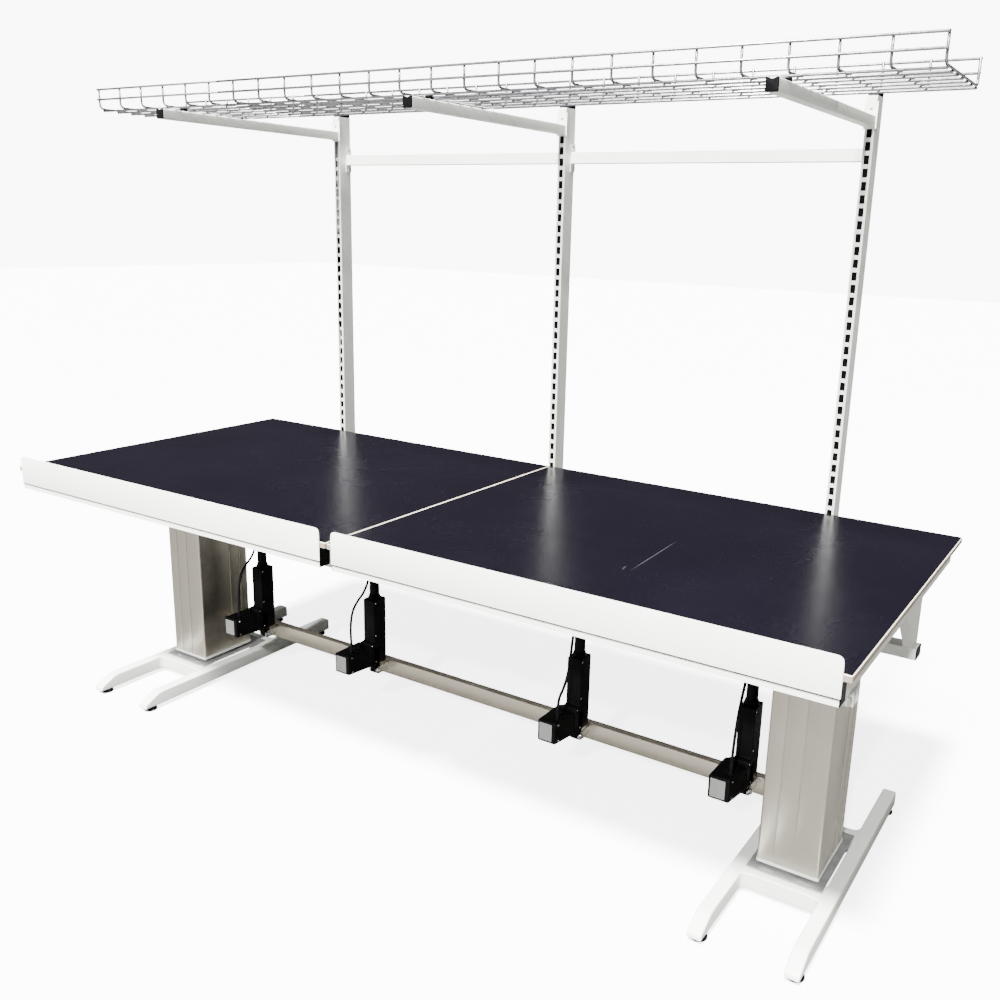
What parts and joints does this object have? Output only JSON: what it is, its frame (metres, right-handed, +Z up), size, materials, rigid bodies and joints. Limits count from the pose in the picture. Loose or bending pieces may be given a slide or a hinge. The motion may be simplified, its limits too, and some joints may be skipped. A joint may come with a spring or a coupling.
{
  "type": "tilt-top height-adjustable work table",
  "caption": "Electric work bench: side-by-side tops tilt up about front hinges, on lifting columns, with linear actuators, slotted uprights, rails and an overhead wire tray.",
  "frame": {"origin": "on the floor, under the middle of the footprint", "axes": "+X along the table to the right as seen from its front, +Y to the rear where the uprights stand, +Z up"},
  "size_m": [3, 1.3004, 2.2533],
  "materials": {
    "film_faced_board": "dark glossy phenolic film on plywood",
    "white_enamel": "satin white powder coat",
    "anodised_aluminium": "brushed natural anodised",
    "stretcher_enamel": "satin beige-grey powder coat",
    "black_plastic": "fine-grained black",
    "black_rubber": "matte black",
    "bright_steel": "bright drawn",
    "zinc_wire": "bright zinc plated"
  },
  "bodies": {
    "base": {"base_frame_left": "white_enamel", "base_frame_right": "white_enamel", "column_inner_left": "anodised_aluminium", "column_inner_right": "anodised_aluminium", "lift_jack_barrel_left": "bright_steel", "lift_jack_barrel_right": "bright_steel"},
    "foot_left_inner_front": {"levelling_foot_left_inner_front": "black_rubber"},
    "foot_left_inner_rear": {"levelling_foot_left_inner_rear": "black_rubber"},
    "foot_left_outer_front": {"levelling_foot_left_outer_front": "black_rubber"},
    "foot_left_outer_rear": {"levelling_foot_left_outer_rear": "black_rubber"},
    "foot_right_inner_front": {"levelling_foot_right_inner_front": "black_rubber"},
    "foot_right_inner_rear": {"levelling_foot_right_inner_rear": "black_rubber"},
    "foot_right_outer_front": {"levelling_foot_right_outer_front": "black_rubber"},
    "foot_right_outer_rear": {"levelling_foot_right_outer_rear": "black_rubber"},
    "carriage": {"column_sleeve_left": "anodised_aluminium", "column_sleeve_right": "anodised_aluminium", "lift_jack_rod_left": "bright_steel", "lift_jack_rod_right": "bright_steel", "hinge_carrier": "white_enamel", "hinge_rod_left": "bright_steel", "hinge_rod_right": "bright_steel", "stretcher_tube": "stretcher_enamel", "side_frame_left": "white_enamel", "side_frame_right": "white_enamel", "rear_beam": "white_enamel", "upright_left": "white_enamel", "upright_middle": "white_enamel", "upright_right": "white_enamel", "rail_left": "white_enamel", "rail_right": "white_enamel", "tray_arm_left": "white_enamel", "tray_arm_middle": "white_enamel", "tray_arm_right": "white_enamel", "arm_cap_left": "black_plastic", "arm_cap_middle": "black_plastic", "arm_cap_right": "black_plastic", "cable_tray_long": "zinc_wire", "cable_tray_short": "zinc_wire"},
    "left_top": {"board_left": "film_faced_board", "top_frame_left": "white_enamel", "front_lip_left": "white_enamel", "tube_cap_left_inner": "black_plastic", "tube_cap_left_outer": "black_plastic"},
    "right_top": {"board_right": "film_faced_board", "top_frame_right": "white_enamel", "front_lip_right": "white_enamel", "tube_cap_right_inner": "black_plastic", "tube_cap_right_outer": "black_plastic"},
    "actuator_1": {"actuator_housing_1": "black_plastic", "motor_cable_1": "black_rubber"},
    "actuator_2": {"actuator_housing_2": "black_plastic", "motor_cable_2": "black_rubber"},
    "actuator_3": {"actuator_housing_3": "black_plastic", "motor_cable_3": "black_rubber"},
    "actuator_4": {"actuator_housing_4": "black_plastic", "motor_cable_4": "black_rubber"},
    "rod_1": {"push_rod_1": "bright_steel"},
    "rod_2": {"push_rod_2": "bright_steel"},
    "rod_3": {"push_rod_3": "bright_steel"},
    "rod_4": {"push_rod_4": "bright_steel"}
  },
  "joints": [
    {"name": "lift", "type": "slide", "parent": "base", "child": "carriage", "axis": [0, 0, 1], "range_m": [0, 0.4]},
    {"name": "tilt_left", "type": "hinge", "parent": "carriage", "child": "left_top", "pos_m": [-0.75, -0.54185, 0.8307], "axis": [1, 0, 0], "range_deg": [0, 30]},
    {"name": "tilt_right", "type": "hinge", "parent": "carriage", "child": "right_top", "pos_m": [0.75, -0.54185, 0.8307], "axis": [1, 0, 0], "range_deg": [0, 30]},
    {"name": "actuator_swing_1", "type": "hinge", "parent": "carriage", "child": "actuator_1", "pos_m": [-1.026, 0.04345, 0.171], "axis": [1, 0, 0], "range_deg": [0, 4.84]},
    {"name": "actuator_swing_2", "type": "hinge", "parent": "carriage", "child": "actuator_2", "pos_m": [-0.4295, 0.04345, 0.171], "axis": [1, 0, 0], "range_deg": [0, 4.84]},
    {"name": "actuator_swing_3", "type": "hinge", "parent": "carriage", "child": "actuator_3", "pos_m": [0.4595, 0.04345, 0.171], "axis": [1, 0, 0], "range_deg": [0, 4.84]},
    {"name": "actuator_swing_4", "type": "hinge", "parent": "carriage", "child": "actuator_4", "pos_m": [1.056, 0.04345, 0.171], "axis": [1, 0, 0], "range_deg": [0, 4.84]},
    {"name": "rod_slide_1", "type": "slide", "parent": "actuator_1", "child": "rod_1", "axis": [0, 0, 1], "range_m": [0, 0.2955]},
    {"name": "rod_slide_2", "type": "slide", "parent": "actuator_2", "child": "rod_2", "axis": [0, 0, 1], "range_m": [0, 0.2955]},
    {"name": "rod_slide_3", "type": "slide", "parent": "actuator_3", "child": "rod_3", "axis": [0, 0, 1], "range_m": [0, 0.2955]},
    {"name": "rod_slide_4", "type": "slide", "parent": "actuator_4", "child": "rod_4", "axis": [0, 0, 1], "range_m": [0, 0.2955]},
    {"name": "foot_turn_left_inner_front", "type": "hinge", "parent": "base", "child": "foot_left_inner_front", "pos_m": [-1.131, -0.44585, 0], "axis": [0, 0, 1], "continuous": true},
    {"name": "foot_turn_left_inner_rear", "type": "hinge", "parent": "base", "child": "foot_left_inner_rear", "pos_m": [-1.131, 0.46115, 0], "axis": [0, 0, 1], "continuous": true},
    {"name": "foot_turn_left_outer_front", "type": "hinge", "parent": "base", "child": "foot_left_outer_front", "pos_m": [-1.397, -0.44585, 0], "axis": [0, 0, 1], "continuous": true},
    {"name": "foot_turn_left_outer_rear", "type": "hinge", "parent": "base", "child": "foot_left_outer_rear", "pos_m": [-1.397, 0.46115, 0], "axis": [0, 0, 1], "continuous": true},
    {"name": "foot_turn_right_inner_front", "type": "hinge", "parent": "base", "child": "foot_right_inner_front", "pos_m": [1.131, -0.44585, 0], "axis": [0, 0, 1], "continuous": true},
    {"name": "foot_turn_right_inner_rear", "type": "hinge", "parent": "base", "child": "foot_right_inner_rear", "pos_m": [1.131, 0.46115, 0], "axis": [0, 0, 1], "continuous": true},
    {"name": "foot_turn_right_outer_front", "type": "hinge", "parent": "base", "child": "foot_right_outer_front", "pos_m": [1.397, -0.44585, 0], "axis": [0, 0, 1], "continuous": true},
    {"name": "foot_turn_right_outer_rear", "type": "hinge", "parent": "base", "child": "foot_right_outer_rear", "pos_m": [1.397, 0.46115, 0], "axis": [0, 0, 1], "continuous": true}
  ],
  "couplings": [
    {"joint": "actuator_swing_1", "follows": "tilt_left", "ratio": 0.16115},
    {"joint": "actuator_swing_2", "follows": "tilt_left", "ratio": 0.16115},
    {"joint": "actuator_swing_3", "follows": "tilt_right", "ratio": 0.16115},
    {"joint": "actuator_swing_4", "follows": "tilt_right", "ratio": 0.16115},
    {"joint": "rod_slide_1", "follows": "tilt_left", "m_per_rad": 0.56417},
    {"joint": "rod_slide_2", "follows": "tilt_left", "m_per_rad": 0.56417},
    {"joint": "rod_slide_3", "follows": "tilt_right", "m_per_rad": 0.56417},
    {"joint": "rod_slide_4", "follows": "tilt_right", "m_per_rad": 0.56417}
  ]
}
